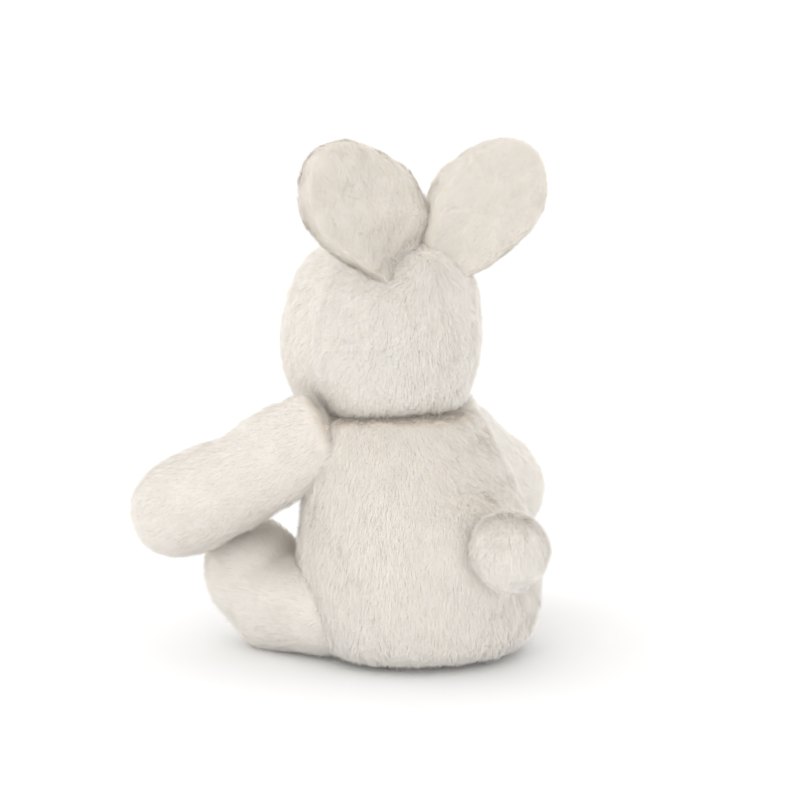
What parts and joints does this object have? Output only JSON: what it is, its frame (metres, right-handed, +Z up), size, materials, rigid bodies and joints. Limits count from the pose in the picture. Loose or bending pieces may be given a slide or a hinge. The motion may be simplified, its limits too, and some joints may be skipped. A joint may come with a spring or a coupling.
{
  "type": "stuffed bunny rabbit",
  "caption": "Seated cream plush bunny with upright oval ears, round tail, weighted seat and limbs, head and ears that turn on sewn joints.",
  "frame": {"origin": "centre of the flat seat face that the toy sits on", "axes": "+Z up from the seat to the ears, -Y the way the rabbit faces, +X to the rabbit's own left"},
  "size_m": [0.2391, 0.1883, 0.2532],
  "materials": {
    "cream_plush": "long soft pile",
    "ear_lining": "short soft pile",
    "sole_plush": "short soft pile",
    "fibre_fill": "matt fibre",
    "pouch_cloth": "plain weave",
    "pellets": "smooth beads",
    "eye_plastic": "polished",
    "washer_plastic": "moulded",
    "nose_plush": "satin stitch",
    "mouth_thread": "twisted thread"
  },
  "bodies": {
    "torso": {"torso_belly": "cream_plush", "torso_back_left": "cream_plush", "torso_back_right": "cream_plush", "torso_stuffing": "fibre_fill", "pellet_pouch": "pouch_cloth", "pellet_fill": "pellets"},
    "neck": {"neck_core": "fibre_fill"},
    "head": {"head_face": "cream_plush", "head_back_left": "cream_plush", "head_back_right": "cream_plush", "head_stuffing": "fibre_fill", "eye_left": "eye_plastic", "eye_right": "eye_plastic", "eye_washer_left": "washer_plastic", "eye_washer_right": "washer_plastic", "nose": "nose_plush", "mouth_thread": "mouth_thread"},
    "ear_left": {"ear_left_fur": "cream_plush", "ear_left_lining": "ear_lining"},
    "ear_right": {"ear_right_fur": "cream_plush", "ear_right_lining": "ear_lining"},
    "arm_left": {"arm_left_cover": "cream_plush", "arm_left_stuffing": "fibre_fill"},
    "arm_right": {"arm_right_cover": "cream_plush", "arm_right_stuffing": "fibre_fill"},
    "leg_left": {"leg_left_cover": "cream_plush", "leg_left_sole": "sole_plush", "leg_left_stuffing": "fibre_fill"},
    "leg_right": {"leg_right_cover": "cream_plush", "leg_right_sole": "sole_plush", "leg_right_stuffing": "fibre_fill"},
    "tail": {"tail_cover": "cream_plush", "tail_stuffing": "fibre_fill"}
  },
  "joints": [
    {"name": "neck_turn", "type": "hinge", "parent": "torso", "child": "neck", "pos_m": [0, -0.02, 0.118], "axis": [0, 0, 1], "range_deg": [-20, 20]},
    {"name": "neck_nod", "type": "hinge", "parent": "neck", "child": "head", "pos_m": [0, -0.02, 0.118], "axis": [1, 0, 0], "range_deg": [-12, 8]},
    {"name": "ear_left_fold", "type": "hinge", "parent": "head", "child": "ear_left", "pos_m": [0.015, 0.006, 0.191], "axis": [0.766, 0, -0.6428], "range_deg": [-40, 10], "stiffness_Nm_per_rad": 0.03},
    {"name": "shoulder_left_lift", "type": "hinge", "parent": "torso", "child": "arm_left", "pos_m": [0.046, -0.014, 0.108], "axis": [-0.7314, -0.682, 0], "range_deg": [0, 28]},
    {"name": "hip_left_spread", "type": "hinge", "parent": "torso", "child": "leg_left", "pos_m": [0.046, -0.012, 0.024], "axis": [0, 0, 1], "range_deg": [-15, 4]},
    {"name": "ear_right_fold", "type": "hinge", "parent": "head", "child": "ear_right", "pos_m": [-0.015, 0.006, 0.191], "axis": [0.766, 0, 0.6428], "range_deg": [-40, 10], "stiffness_Nm_per_rad": 0.03},
    {"name": "shoulder_right_lift", "type": "hinge", "parent": "torso", "child": "arm_right", "pos_m": [-0.046, -0.014, 0.108], "axis": [-0.6428, 0.766, 0], "range_deg": [0, 28]},
    {"name": "hip_right_spread", "type": "hinge", "parent": "torso", "child": "leg_right", "pos_m": [-0.046, -0.012, 0.024], "axis": [0, 0, -1], "range_deg": [-15, 4]},
    {"name": "tail_tip", "type": "hinge", "parent": "torso", "child": "tail", "pos_m": [0, 0.05, 0.059], "axis": [1, 0, 0], "range_deg": [-18, 18], "stiffness_Nm_per_rad": 0.01}
  ]
}
